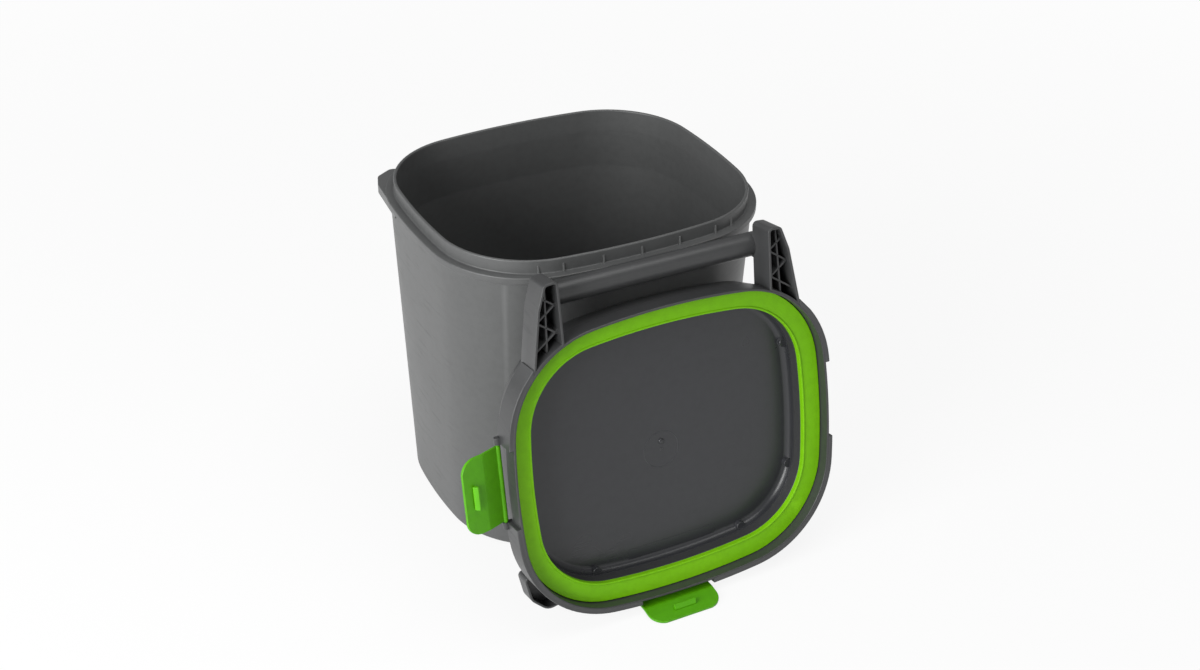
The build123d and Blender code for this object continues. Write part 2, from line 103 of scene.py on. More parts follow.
# The lid, drawn as it sits on the bin, z = 0 at the face of its ring seal
closed_gap = 0.3
skirt_low = -10.0
skirt_reach = 4.3
skirt_straight = 6.0
skirt_edge = 0.8
skirt_outer_bend = 4.0
skirt_inner_bend = 2.0
skirt_bend_step = 0.6
lid_top_reach = -0.5
lid_top = 30.0
lid_top_drop = 1.2
lid_top_round = 2.2
lid_wall = 2.1
border_low = 27.5
border_round = 1.0
top_thickness = 2.5

# The tray inside the border, with a cove round its floor
tray_inset = 15.0
tray_in_seal = 0.2
tray_foot_round = 0.6
panel_low = 22.0
panel_high = 24.5
panel_edge = 0.5
cove_overlap = 0.4
cove_height = 7.0
cove_edge = 0.2
cove_foot = 0.8
cove_round = 5.5

# Moulding marks on the tray. A mark's profile gives (height over its foot, radius).
mark_foot = 0.1
nub_place = (0.5, 3.0)
nub_profile = ((0.0, 2.6), (0.3, 2.4), (0.9, 2.2), (1.3, 1.6), (1.4, 0.6))
dot_place = (0.0, 10.2)
dot_profile = ((0.0, 1.6), (0.35, 1.4), (0.4, 0.8))
mark_ring = 16.0
mark_ring_half_width = 0.5
mark_ring_rise = 0.18
field_points = ((-38.0, 94.0), (45.0, 94.0), (45.0, 103.0), (-38.0, 103.0))
field_round = 1.0
field_rise = 0.35
field_foot = 0.4
field_edge = 0.15
ejector_places = ((119.2, 56.0), (69.5, 102.0))
ejector_foot = 0.2
ejector_profile = ((0.0, 4.0), (4.7, 4.0), (5.0, 3.7))

# The ring seal, z = 0 at its lip along the inner edge. The face beside it rises gently outwards.
seal_outer = 1.6
seal_inner = -15.0
seal_thickness = 5.0
seal_back_round = 0.5
seal_lip_width = 1.5
seal_lip_round = 0.6
seal_dip_place = 2.1
seal_dip_depth = 0.7
seal_dip_round = 0.5
seal_face_inset = 3.0
seal_face_depth = 0.4
seal_face_round = 1.5
seal_outer_depth = 0.2
seal_outer_round = 0.4

# The handle: two arms and a round bar. The bar's steps are (distance from its end, depth).
bar_radius = 9.8
bar_forward = 148.1
bar_height = 20.3
bar_end = 101.0
bar_end_steps = ((0.0, 0.4), (2.4, 0.1), (3.0, 0.7), (3.6, 0.7), (4.4, 0.0))
arm_points = ((91.5, 92.0), (92.5, 169.0), (104.5, 168.0), (111.5, 148.0), (119.5, 101.0), (119.5, 88.0))
arm_rounds = (0.0, 4.0, 4.0, 0.0, 0.0, 0.0)
arm_low = -9.8
arm_high = 15.0

# Ribs in an arm. The first cross rib stands arm_rib_first spacings up, of arm_rib_count + arm_rib_spare.
arm_rib_low = -4.5
arm_rib_slant = 35.0
arm_rib_count = 5
arm_rib_first = 1.6
arm_rib_spare = 1.9
long_rib_share = 0.6
rib_thickness = 1.5
rib_edge = 0.25
rib_in_top = 0.5
rib_in_wall = 0.6

# The bar's seat on each arm
seat_overlap = 0.4
seat_corner = 0.5
seat_edge = 0.4

# What grows out of the skirt: its edge radius, and how deep its root lies in the skirt's wall
outgrowth_edge = 0.6
root_depth_low = 1.0
root_depth_high = 1.4
lug_points = ((122.0, 84.0), (136.0, 86.0), (132.0, 108.0), (118.0, 121.0), (97.0, 117.0), (101.0, 104.0))
lug_rounds = (0.0, 4.0, 11.0, 11.0, 4.0, 0.0)
lug_low = 15.0
lug_below_top = 0.1

# The proud lower edge of the skirt
band_reach = 8.0
band_high = 13.0
band_low_round = 1.0
band_high_round = 1.2
band_foot_depth = 1.6
band_foot_rise = 0.2
band_top_depth = 1.0
band_end_edge = 0.5
band_end_room = 2.0

# Latches
latch_hinge_height = 10.0
latch_hinge_out = 0.9
latch_length = 38.0
latch_bend = 18.0
latch_lip_angle = 10.0
latch_thickness = 2.2
latch_face_gap = 0.6
latch_corner = 13.0
latch_corner_steps = 9
latch_edge = 0.5
latch_tip_edge = 0.25
latch_rows = (0.0, -4.0, -8.0, -12.0)
latch_bend_step = 1.0
barrel_radius = 2.2
trunnion_radius = 1.6
trunnion_length = 3.0
trunnion_edge = 0.4
notch_side_gap = 1.0
knuckle_width = 6.0
knuckle_radius = 2.7
knuckle_edge = 0.4
knuckle_depth = 1.5
knuckle_steps = 12
catch_width = 20.0
catch_height = 3.0
catch_overlap = 2.1
catch_gap = 0.3
catch_edge = 0.3
catch_tip_round = 0.4
catch_in_plate = 0.6
side_hinge = NECK["half_x"] + flange_reach + latch_hinge_out
rear_hinge = NECK["half_y"] + flange_reach + latch_hinge_out
LATCHES = {
    "latch_left": dict(x=-side_hinge, y=-7.0, turn=90.0, width=66.0),
    "latch_right": dict(x=side_hinge, y=-7.0, turn=-90.0, width=66.0),
    "latch_rear": dict(x=-9.0, y=rear_hinge, turn=0.0, width=66.0),
}

# The stage, in metres, watts and degrees
floor_reach = 30.0
floor_below_base = 0.0003
floor_grey = 0.8
floor_white_near = 0.4
floor_white_far = 2.0
floor_white_share = 0.88
world_light = 0.3
LAMPS = {
    "left_softbox": dict(place=(-1.7, -0.75, 0.8), target=(0.0, -0.05, 0.15), width=1.2, power=44.0),
    "top_softbox": dict(place=(0.2, -0.3, 1.9), target=(0.0, -0.1, 0.1), width=1.2, power=13.0),
    "front_fill": dict(place=(0.7, -1.9, 0.9), target=(0.0, -0.1, 0.12), width=1.0, power=2.0),
}
camera_place = (-0.5793, -1.1562, 0.9409)
camera_pitch = 56.57
camera_heading = -26.25
camera_lens = 51.0
camera_sensor = 36.0
camera_shift = (0.0333, 0.0375)

MM = 0.001
parallel_limit = 1e-9
search_halvings = 40
JOINTS = {joint["name"]: joint for joint in frame["record"]["behaviour"]["joints"]}


class BowedBox:
    """A rounded rectangle with bowed sides, as stations on eight tangent arcs with fixed centres."""

    def __init__(self, half_x, half_y, end_bow, side_bow, corner):
        end_centre = (0.0, half_y - end_bow)
        side_centre = (half_x - side_bow, 0.0)
        end_to_corner = end_bow - corner
        side_to_corner = side_bow - corner
        step = (side_centre[0], -end_centre[1])
        span = math.hypot(*step)
        down_line = (end_to_corner**2 - side_to_corner**2 + span**2) / (2 * span)
        across = math.sqrt(end_to_corner**2 - down_line**2)
        unit = (step[0] / span, step[1] / span)
        corner_centre = (
            unit[0] * down_line + unit[1] * across,
            end_centre[1] + unit[1] * down_line - unit[0] * across,
        )
        self.side_limit = math.atan2(corner_centre[1], corner_centre[0] - side_centre[0])
        self.end_limit = math.atan2(corner_centre[1] - end_centre[1], corner_centre[0])
        self.side_arc = (side_centre, side_bow)
        self.corner_arc = (corner_centre, corner)
        self.end_arc = (end_centre, end_bow)
        self.stations = self.make_stations()

    def make_stations(self):
        quarter = []
        for arc, start, stop, steps in (
            (self.side_arc, 0.0, self.side_limit, ARC_STEPS["side"]),
            (self.corner_arc, self.side_limit, self.end_limit, ARC_STEPS["corner"]),
            (self.end_arc, self.end_limit, math.pi / 2, ARC_STEPS["end"]),
        ):
            for index in range(steps):
                quarter.append((arc[0], arc[1], start + (stop - start) * index / steps))
        back = [(*self.end_arc, math.pi / 2), *quarter[:0:-1]]
        half = quarter + [((-c[0], c[1]), radius, math.pi - angle) for c, radius, angle in back]
        return half + [((-c[0], -c[1]), radius, math.pi + angle) for c, radius, angle in half]

    def ring(self, offset):
        """The outline at an offset, as points."""
        points = []
        for centre, radius, angle in self.stations:
            reach = radius + offset
            points.append((centre[0] + reach * math.cos(angle), centre[1] + reach * math.sin(angle)))
        return points

    def arc_at(self, x, y):
        """The arc that a point of the first quadrant belongs to."""
        side_centre, end_centre = self.side_arc[0], self.end_arc[0]
        if math.atan2(y - side_centre[1], x - side_centre[0]) < self.side_limit:
            return self.side_arc
        if math.atan2(y - end_centre[1], x - end_centre[0]) > self.end_limit:
            return self.end_arc
        return self.corner_arc

    def reach(self, x, y):
        """How far a point of the first quadrant lies outside the outline."""
        centre, radius = self.arc_at(x, y)
        return math.hypot(x - centre[0], y - centre[1]) - radius

    def pushed(self, x, y, offset):
        """The point moved straight in or out until it lies at an offset."""
        centre, radius = self.arc_at(x, y)
        span = math.hypot(x - centre[0], y - centre[1])
        scale = (radius + offset) / span
        return (centre[0] + (x - centre[0]) * scale, centre[1] + (y - centre[1]) * scale)

    def half_at(self, place, offset, along_y):
        """Half the width (along_y) or half the depth at a place, for an outline at an offset."""
        place = abs(place)
        bow_arc = self.side_arc if along_y else self.end_arc
        limit = self.side_limit if along_y else math.pi / 2 - self.end_limit
        axis = 1 if along_y else 0
        centre, radius = bow_arc
        if place > (radius + offset) * math.sin(limit):
            centre, radius = self.corner_arc
        run = place - centre[axis]
        return centre[1 - axis] + math.sqrt((radius + offset) ** 2 - run**2)


neck = BowedBox(**NECK)
foot = BowedBox(**FOOT)


def at_height(points, z):
    return [(x, y, z) for x, y in points]


def anticlockwise(points):
    pairs = zip(points, points[1:] + points[:1])
    area = sum(a[0] * b[1] - b[0] * a[1] for a, b in pairs)
    return points if area > 0 else points[::-1]


def with_rounds(points, rounds):
    """Corners as (x, y, radius)."""
    return [(x, y, radius) for (x, y), radius in zip(points, rounds)]


def rounded(corners, closed=True, steps=4):
    """A flat outline with rounded corners. Each corner is (x, y, radius)."""
    points = []
    count = len(corners)
    for index, (x, y, radius) in enumerate(corners):
        if radius == 0.0 or (not closed and index in (0, count - 1)):
            points.append((x, y))
            continue
        here = Vector((x, y))
        back = (Vector(corners[index - 1][:2]) - here).normalized()
        ahead = (Vector(corners[(index + 1) % count][:2]) - here).normalized()
        half = back.angle(ahead) / 2
        cut = radius / math.tan(half)
        middle = here + (back + ahead).normalized() * radius / math.sin(half)
        start = here + back * cut - middle
        stop = here + ahead * cut - middle
        sweep = start.angle(stop)
        for step in range(steps + 1):
            share = step / steps
            mixed = start * math.sin((1 - share) * sweep) + stop * math.sin(share * sweep)
            spot = middle + mixed / math.sin(sweep)
            points.append((spot.x, spot.y))
    return points


def inset(points, amount):
    """An anticlockwise outline moved inwards."""
    moved = []
    count = len(points)
    for index in range(count):
        here = Vector(points[index])
        before = here - Vector(points[index - 1])
        after = Vector(points[(index + 1) % count]) - here
        first = Vector((-before.y, before.x)).normalized()
        second = Vector((-after.y, after.x)).normalized()
        spot = here + (first + second) * amount / (1 + first.dot(second))
        moved.append((spot.x, spot.y))
    return moved


def circle(radius, steps=40):
    turns = [2 * math.pi * index / steps for index in range(steps)]
    return [(radius * math.cos(turn), radius * math.sin(turn)) for turn in turns]


def edge_arc(radius, steps=3):
    """A rounded edge from the end face to the side, as (distance from the side, from the end face)."""
    turns = [math.pi / 2 * step / steps for step in range(steps + 1)]
    return [(radius * (1 - math.sin(turn)), radius * (1 - math.cos(turn))) for turn in turns]


def prism_loops(outline, low, high, edge):
    """The cross sections of a prism with rounded top and bottom edges."""
    outline = anticlockwise(outline)
    arc = edge_arc(edge)
    loops = [at_height(inset(outline, inward), low + along) for inward, along in arc]
    return loops + [at_height(inset(outline, inward), high - along) for inward, along in reversed(arc)]


def directed(origin, z_dir, x_dir):
    """A frame in millimetres from its origin, its Z and its X."""
    z_axis = Vector(z_dir).normalized()
    x_axis = Vector(x_dir).normalized()
    turned = Matrix((x_axis, z_axis.cross(x_axis), z_axis)).transposed().to_4x4()
    return Matrix.Translation(origin) @ turned


class Form:
    """The vertices and faces of one piece, in millimetres."""

    def __init__(self, place=Matrix.Identity(4)):
        self.place = place
        self.points = []
        self.faces = []

    def loft(self, loops, closed=False, place=Matrix.Identity(4)):
        """Skins a row of loops. It ends in flat caps, or meets its own start."""
        first = len(self.points)
        count = len(loops[0])
        for loop in loops:
            self.points += [self.place @ place @ Vector(point) for point in loop]
        rows = len(loops)
        for row in range(rows if closed else rows - 1):
            near = first + row * count
            far = first + (row + 1) % rows * count
            for index in range(count):
                after = (index + 1) % count
                self.faces.append((near + index, near + after, far + after, far + index))
        if not closed:
            self.faces.append(tuple(range(first, first + count)))
            self.faces.append(tuple(range(first + (rows - 1) * count, first + rows * count)))

    def rod(self, start, direction, profile, steps=40):
        """A turned piece: profile gives (distance along, radius)."""
        side = (0, 0, 1) if abs(direction[2]) < 0.5 else (1, 0, 0)
        loops = [at_height(circle(radius, steps), distance) for distance, radius in profile]
        self.loft(loops, place=directed(start, direction, side))

    def piece(self, name, body, material, slot, *nodes, sharp=38.0):
        """Turns the form into an object that rides on a body and stands for CAD nodes."""
        mesh = bpy.data.meshes.new(name)
        mesh.from_pydata([tuple(point * MM) for point in self.points], [], self.faces)
        shell = bmesh.new()
        shell.from_mesh(mesh)
        bmesh.ops.recalc_face_normals(shell, faces=shell.faces)
        shell.to_mesh(mesh)
        shell.free()
        mesh.shade_smooth()
        mesh.set_sharp_from_angle(angle=math.radians(sharp))
        mesh.materials.append(material)
        piece = bpy.data.objects.new(name, mesh)
        bpy.context.scene.collection.objects.link(piece)
        normals = piece.modifiers.new("even shading", "WEIGHTED_NORMAL")
        normals.keep_sharp = True
        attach(piece, body)
        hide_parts(*nodes)
        return piece


def edged_rod(length, radius, edge):
    """The profile of a rod with rounded ends."""
    return (
        (0.0, radius - edge),
        (edge * edge_middle, radius - edge * edge_middle),
        (edge, radius),
        (length - edge, radius),
        (length - edge * edge_middle, radius - edge * edge_middle),
        (length, radius - edge),
    )


def link(tree, start, output, end, entry):
    tree.links.new(start.outputs[output], end.inputs[entry])


SPECK_SHADE = (0.86, 0.86, 0.86, 1.0)
# The painted edge highlight: sharp edges are painted this much paler than the pale tone, standing in for
# light caught on them.
EDGE_HIGHLIGHT_GAIN = 1.9
EDGE_HIGHLIGHT_LIFT = 0.02
ROUGHNESS_DOWN = 0.04
ROUGHNESS_UP = 0.05
BROAD_DEPTH_GAIN = 6


def plastic(name, colour, pale, roughness, grain_size, grain_depth, edge_highlight, shine=0.5, coat=0.0, soft=0.0):
    """Moulded plastic or rubber: fine grain, drifting tone, faint rub marks and painted highlights on its
    sharp edges.
    """
    material = bpy.data.materials.new(name)
    material.use_nodes = True
    tree = material.node_tree
    shader = tree.nodes["Principled BSDF"]
    shader.inputs["Specular IOR Level"].default_value = shine
    shader.inputs["Coat Weight"].default_value = coat
    shader.inputs["Coat Roughness"].default_value = 0.2
    shader.inputs["Sheen Weight"].default_value = soft
    place = tree.nodes.new("ShaderNodeTexCoord")

    def noise(scale, detail, stretch=(1.0, 1.0, 1.0)):
        mapping = tree.nodes.new("ShaderNodeMapping")
        mapping.inputs["Scale"].default_value = stretch
        link(tree, place, "Object", mapping, "Vector")
        texture = tree.nodes.new("ShaderNodeTexNoise")
        texture.inputs["Scale"].default_value = scale
        texture.inputs["Detail"].default_value = detail
        link(tree, mapping, "Vector", texture, "Vector")
        return texture

    def spread(texture, output, low, high, to_low, to_high):
        limits = tree.nodes.new("ShaderNodeMapRange")
        limits.inputs["From Min"].default_value = low
        limits.inputs["From Max"].default_value = high
        limits.inputs["To Min"].default_value = to_low
        limits.inputs["To Max"].default_value = to_high
        link(tree, texture, output, limits, "Value")
        return limits

    def mixed(kind="MIX"):
        mixer = tree.nodes.new("ShaderNodeMix")
        mixer.data_type = "RGBA"
        mixer.blend_type = kind
        return mixer

    drift = noise(scale=9.0, detail=3.0)
    mottle = noise(scale=160.0, detail=4.0)
    rubs = noise(scale=30.0, detail=6.0, stretch=(1.0, 1.0, 9.0))
    grain = noise(scale=1.0 / grain_size, detail=2.0)

    tone = mixed()
    tone.inputs["A"].default_value = (*colour, 1.0)
    tone.inputs["B"].default_value = (*pale, 1.0)
    paleness = spread(drift, "Fac", low=0.3, high=0.7, to_low=0.0, to_high=0.55)
    link(tree, paleness, "Result", tone, "Factor")

    speck = mixed("MULTIPLY")
    speck.inputs["B"].default_value = SPECK_SHADE
    link(tree, tone, "Result", speck, "A")
    darkness = spread(mottle, "Fac", low=0.42, high=0.66, to_low=0.0, to_high=0.5)
    link(tree, darkness, "Result", speck, "Factor")

    # Painted highlight: sharp outward edges, found by pointiness, are painted lighter, as light caught on
    # them would show.
    edges = tree.nodes.new("ShaderNodeNewGeometry")
    edge_highlight_mix = mixed()
    edge_highlight_colour = [min(1.0, part * EDGE_HIGHLIGHT_GAIN + EDGE_HIGHLIGHT_LIFT) for part in pale]
    edge_highlight_mix.inputs["B"].default_value = (*edge_highlight_colour, 1.0)
    link(tree, speck, "Result", edge_highlight_mix, "A")
    edge_highlight_mask = spread(edges, "Pointiness", low=0.53, high=0.62, to_low=0.0, to_high=edge_highlight)
    link(tree, edge_highlight_mask, "Result", edge_highlight_mix, "Factor")
    link(tree, edge_highlight_mix, "Result", shader, "Base Color")

    gloss = tree.nodes.new("ShaderNodeMath")
    gloss.operation = "ADD"
    smoothest, roughest = roughness - ROUGHNESS_DOWN, roughness + ROUGHNESS_UP
    broad_gloss = spread(drift, "Fac", low=0.3, high=0.7, to_low=smoothest, to_high=roughest)
    rub_gloss = spread(rubs, "Fac", low=0.56, high=0.74, to_low=0.0, to_high=0.1)
    link(tree, broad_gloss, "Result", gloss, 0)
    link(tree, rub_gloss, "Result", gloss, 1)
    link(tree, gloss, "Value", shader, "Roughness")

    fine = tree.nodes.new("ShaderNodeBump")
    fine.inputs["Strength"].default_value = 0.35
    fine.inputs["Distance"].default_value = grain_depth
    link(tree, grain, "Fac", fine, "Height")
    broad = tree.nodes.new("ShaderNodeBump")
    broad.inputs["Strength"].default_value = 0.2
    broad.inputs["Distance"].default_value = grain_depth * BROAD_DEPTH_GAIN
    link(tree, drift, "Fac", broad, "Height")
    link(tree, fine, "Normal", broad, "Normal")
    link(tree, broad, "Normal", shader, "Normal")
    return material


# The bin's charcoal is the lid's plastic painted about twice as light: a painted sheen for the bright
# surroundings that its walls reflect.
bin_charcoal_painted_sheen = plastic(
    "charcoal_shell_painted_sheen",
    colour=(0.080, 0.082, 0.082),
    pale=(0.094, 0.096, 0.096),
    roughness=0.42,
    grain_size=0.0007,
    grain_depth=0.00006,
    edge_highlight=0.4,
)
charcoal_lid = plastic(
    "charcoal_lid",
    colour=(0.038, 0.039, 0.040),
    pale=(0.046, 0.047, 0.048),
    roughness=0.38,
    grain_size=0.0008,
    grain_depth=0.00005,
    edge_highlight=0.4,
)
# The tray's charcoal is the same plastic painted darker than the lid's: painted shade for the dark tray
# floor.
charcoal_tray_painted_shade = plastic(
    "charcoal_tray_painted_shade",
    colour=(0.024, 0.025, 0.028),
    pale=(0.030, 0.031, 0.035),
    roughness=0.30,
    grain_size=0.001,
    grain_depth=0.00003,
    edge_highlight=0.3,
)
lime_seal = plastic(
    "lime_seal",
    colour=(0.160, 0.460, 0.0),
    pale=(0.200, 0.530, 0.002),
    roughness=0.5,
    grain_size=0.0006,
    grain_depth=0.00004,
    edge_highlight=0.15,
    shine=0.25,
)
lime_latch = plastic(
    "lime_latch",
    colour=(0.070, 0.310, 0.0),
    pale=(0.090, 0.360, 0.001),
    roughness=0.42,
    grain_size=0.0009,
    grain_depth=0.00004,
    edge_highlight=0.25,
    shine=0.3,
)
grid_grey = plastic(
    "grid_grey",
    colour=(0.036, 0.038, 0.040),
    pale=(0.048, 0.050, 0.052),
    roughness=0.5,
    grain_size=0.0008,
    grain_depth=0.00006,
    edge_highlight=0.3,
)
tap_black = plastic(
    "tap_black",
    colour=(0.016, 0.016, 0.018),
    pale=(0.024, 0.024, 0.026),
    roughness=0.28,
    grain_size=0.0009,
    grain_depth=0.00004,
    edge_highlight=0.3,
    coat=0.2,
)
seal_black = plastic(
    "seal_black",
    colour=(0.012, 0.012, 0.012),
    pale=(0.018, 0.018, 0.018),
    roughness=0.6,
    grain_size=0.0006,
    grain_depth=0.00006,
    edge_highlight=0.2,
    soft=0.1,
)


def rooted(corners, reach, root_steps=6):
    """An outgrowth's outline in the first quadrant: its open side follows the neck's outline at a reach."""
    points = rounded(corners, closed=False)

    def crossing(outer, inner):
        low, high = 0.0, 1.0
        for _ in range(search_halvings):
            share = (low + high) / 2
            x = outer[0] + (inner[0] - outer[0]) * share
            y = outer[1] + (inner[1] - outer[1]) * share
            if neck.reach(x, y) > reach:
                low = share
            else:
                high = share
        return (x, y)

    start = crossing(points[1], points[0])
    stop = crossing(points[-2], points[-1])
    root = []
    for step in range(1, root_steps):
        share = step / root_steps
        x = stop[0] + (start[0] - stop[0]) * share
        y = stop[1] + (start[1] - stop[1]) * share
        root.append(neck.pushed(x, y, reach))
    return [start, *points[1:-1], stop, *root]


def bin_ring(offset, z):
    """The bin's wall outline moved out by an offset: tapered below the shoulder, upright above it."""
    top = neck.ring(shoulder_reach + offset)
    if z >= shoulder_height:
        return at_height(top, z)
    share = z / shoulder_height
    low = foot.ring(offset)
    return [(a[0] + (b[0] - a[0]) * share, a[1] + (b[1] - a[1]) * share, z) for a, b in zip(low, top)]


def front_wall(z):
    """The Y of the bin's front face at a height below the shoulder."""
    return -(FOOT["half_y"] + (NECK["half_y"] + shoulder_reach - FOOT["half_y"]) * z / shoulder_height)


def make_bin():
    form = Form()
    neck_face = -shoulder_reach
    profile = rounded(
        (
            (-foot_chamfer - cap_inset, 0.0, 0.0),
            (-foot_chamfer, 0.0, foot_round),
            (0.0, foot_chamfer, foot_round),
            (0.0, shoulder_height, soft_edge),
            (bead_reach - shoulder_reach, shoulder_height, bead_round),
            (bead_reach - shoulder_reach, flange_low, bead_round),
            (flange_reach - shoulder_reach, flange_low, soft_edge),
            (flange_reach - shoulder_reach, flange_top, flange_round),
            (neck_face, flange_top, flange_round),
            (neck_face, bin_height, rim_round),
            (neck_face - wall, bin_height, rim_round),
            (neck_face - wall, shoulder_height, neck_cove),
            (-wall, shoulder_height - neck_blend_depth, neck_blend_round),
            (-wall, floor_thickness, floor_fillet),
            (-wall - floor_fillet - floor_cap_inset, floor_thickness, 0.0),
        ),
        closed=False,
    )
    form.loft([bin_ring(offset, z) for offset, z in profile])
    ear_outline = rooted(with_rounds(ear_points, ear_rounds), -wall / 2, ear_root_steps)
    for side in (-1, 1):
        ear = [(side * x, y) for x, y in ear_outline]
        form.loft(prism_loops(ear, flange_top - ear_depth, flange_top - ear_below_flange, soft_edge))
    for x in neck_web_places:
        face_y = -neck.half_at(x, 0.0, False)
        web = rounded(
            (
                (face_y + neck_web_in_neck, flange_top - neck_web_in_flange, 0.0),
                (face_y - neck_web_foot, flange_top - neck_web_in_flange, 0.0),
                (face_y - neck_web_tip, flange_top + neck_web_height, neck_web_edge),
                (face_y + neck_web_in_neck, flange_top + neck_web_height, 0.0),
            )
        )
        across = directed((x - neck_web_width / 2, 0, 0), (1, 0, 0), (0, 1, 0))
        form.loft(prism_loops(web, 0.0, neck_web_width, neck_web_edge), place=across)
    outside = front_wall(tap_height) - tap_pad_thickness
    for start in (outside, outside + tap_pad_inner_step):
        pad = edged_rod(wall, tap_pad_radius, soft_edge)
        form.rod((0, start, tap_height), (0, 1, 0), pad, wide_circle_steps)
    form.piece("bin_shell", "bin", bin_charcoal_painted_sheen, "charcoal_plastic", "bin_body")


lid_swing = JOINTS["lid_swing"]
swing_axis = Matrix.Translation(Vector(lid_swing["pos_m"]) / MM)
swing_back = Matrix.Rotation(math.radians(-min(lid_swing["range_deg"])), 4, "X")
lid_closed = Matrix.Translation((0, 0, bin_height + closed_gap))
lid_rest = swing_axis @ swing_back @ swing_axis.inverted() @ lid_closed
taper = (skirt_reach - lid_top_reach) / (lid_top - skirt_straight)


def skirt_at(z):
    """The reach of the lid's outer face at a height."""
    return skirt_reach - taper * max(0.0, z - skirt_straight)


def root_reach(z):
    """How far in the outgrowths run, always inside the skirt's own wall."""
    return skirt_at(z) - (root_depth_low if z < skirt_straight else root_depth_high)


def outgrowth(form, corners, signs, low, high):
    """A walled outgrowth of the skirt, closed on top and hollow from below."""

    def level(root_z, inward, z):
        """The outline with its root as it is at root_z, moved in and set at height z."""
        loop = [(signs[0] * x, signs[1] * y) for x, y in rooted(corners, root_reach(root_z))]
        return at_height(inset(anticlockwise(loop), inward), z)

    arc = edge_arc(outgrowth_edge)
    upper = high - outgrowth_edge
    lower = low + outgrowth_edge
    ceiling = high - top_thickness
    middle = [z for z in (skirt_straight, skirt_straight - skirt_bend_step) if z > lower]
    loops = [level(upper, inward, high - along) for inward, along in arc]
    loops += [level(z, 0.0, z) for z in middle]
    loops += [level(lower, inward, low + along) for inward, along in reversed(arc)]
    loops += [level(lower, lid_wall - inward, low + along) for inward, along in arc]
    loops += [level(z, lid_wall, z) for z in reversed(middle)]
    loops.append(level(ceiling, lid_wall, ceiling))
    form.loft(loops)


def chord(polygon, centre, heading):
    """Where a line through a point inside a polygon meets it on both sides."""
    found = []
    direction = Vector((math.cos(heading), math.sin(heading)))
    for a, b in zip(polygon, polygon[1:] + polygon[:1]):
        side = Vector(b) - Vector(a)
        gap = Vector(a) - Vector(centre)
        cross = direction.x * side.y - direction.y * side.x
        if abs(cross) < parallel_limit:
            continue
        distance = (gap.x * side.y - gap.y * side.x) / cross
        share = (gap.x * direction.y - gap.y * direction.x) / cross
        if 0.0 <= share <= 1.0:
            found.append(distance)
    ahead = min([distance for distance in found if distance > 0], default=0.0)
    behind = max([distance for distance in found if distance < 0], default=0.0)
    return Vector(centre) + direction * behind, Vector(centre) + direction * ahead


def arm_ribs(form, corners, side):
    """One lengthwise web and a zigzag of cross webs in an arm."""
    room = inset(anticlockwise(rooted(corners, skirt_reach)), lid_wall * rib_in_wall)
    root = Vector(((arm_points[0][0] + arm_points[5][0]) / 2, arm_points[0][1]))
    tip = Vector(((arm_points[1][0] + arm_points[3][0]) / 2, arm_points[2][1]))
    heading = math.atan2(tip.y - root.y, tip.x - root.x)
    webs = [(root + (tip - root) * long_rib_share, heading)]
    for index in range(arm_rib_count):
        share = (index + arm_rib_first) / (arm_rib_count + arm_rib_spare)
        slant = math.radians(-arm_rib_slant if index % 2 else arm_rib_slant)
        webs.append((root + (tip - root) * share, slant))
    for centre, turn in webs:
        start, stop = chord(room, centre, turn)
        across = Vector((-math.sin(turn), math.cos(turn))) * rib_thickness / 2
        corners_of_web = [start - across, stop - across, stop + across, start + across]
        web = [(side * point.x, -point.y) for point in corners_of_web]
        form.loft(prism_loops(web, arm_rib_low, arm_high - top_thickness + rib_in_top, rib_edge))


def latch_place(name):
    """A latch's hinge frame on the lid: X along the hinge, Y outwards."""
    latch = LATCHES[name]
    turn = Matrix.Rotation(math.radians(latch["turn"]), 4, "Z")
    return Matrix.Translation((latch["x"], latch["y"], latch_hinge_height)) @ turn


def edge_band(form, signs, from_y, to_x):
    """The proud lower edge of the skirt round one corner, from a place on its side to one on its end."""
    profile = rounded(
        (
            (skirt_reach - band_foot_depth, skirt_low + band_foot_rise, 0.0),
            (band_reach, skirt_low, band_low_round),
            (band_reach, band_high, band_high_round),
            (skirt_at(band_high) - band_top_depth, band_high, 0.0),
        )
    )
    slim = inset(anticlockwise(profile), band_end_edge)

    def cut_at_y(y, outline):
        return [(neck.half_at(y, reach, True), y, z) for reach, z in outline]

    def cut_at_x(x, outline):
        return [(x, neck.half_at(x, reach, False), z) for reach, z in outline]

    loops = [cut_at_y(from_y, slim), cut_at_y(from_y + band_end_edge, profile)]
    quarter = neck.stations[: sum(ARC_STEPS.values()) + 1]
    for centre, radius, angle in quarter:
        across, deep = math.cos(angle), math.sin(angle)
        x = centre[0] + radius * across
        y = centre[1] + radius * deep
        if y > from_y + band_end_room and x > to_x + band_end_room:
            loops.append([(x + reach * across, y + reach * deep, z) for reach, z in profile])
    loops += [cut_at_x(to_x + band_end_edge, profile), cut_at_x(to_x, slim)]
    form.loft([[(signs[0] * x, signs[1] * y, z) for x, y, z in loop] for loop in loops])


def knuckle(form, name, side):
    """One of the two ears that carry a latch's trunnions."""
    half = LATCHES[name]["width"] / 2 + notch_side_gap
    root = -flange_reach - latch_hinge_out + skirt_reach - knuckle_depth
    turns = [math.pi / 2 - math.pi * step / knuckle_steps for step in range(knuckle_steps + 1)]
    nose = [(knuckle_radius * math.cos(turn), knuckle_radius * math.sin(turn)) for turn in turns]
    outline = [(root, knuckle_radius), *nose, (root, -knuckle_radius)]
    start = half if side > 0 else -half - knuckle_width
    across = directed((start, 0, 0), (1, 0, 0), (0, 1, 0))
    form.loft(prism_loops(outline, 0.0, knuckle_width, knuckle_edge), place=latch_place(name) @ across)


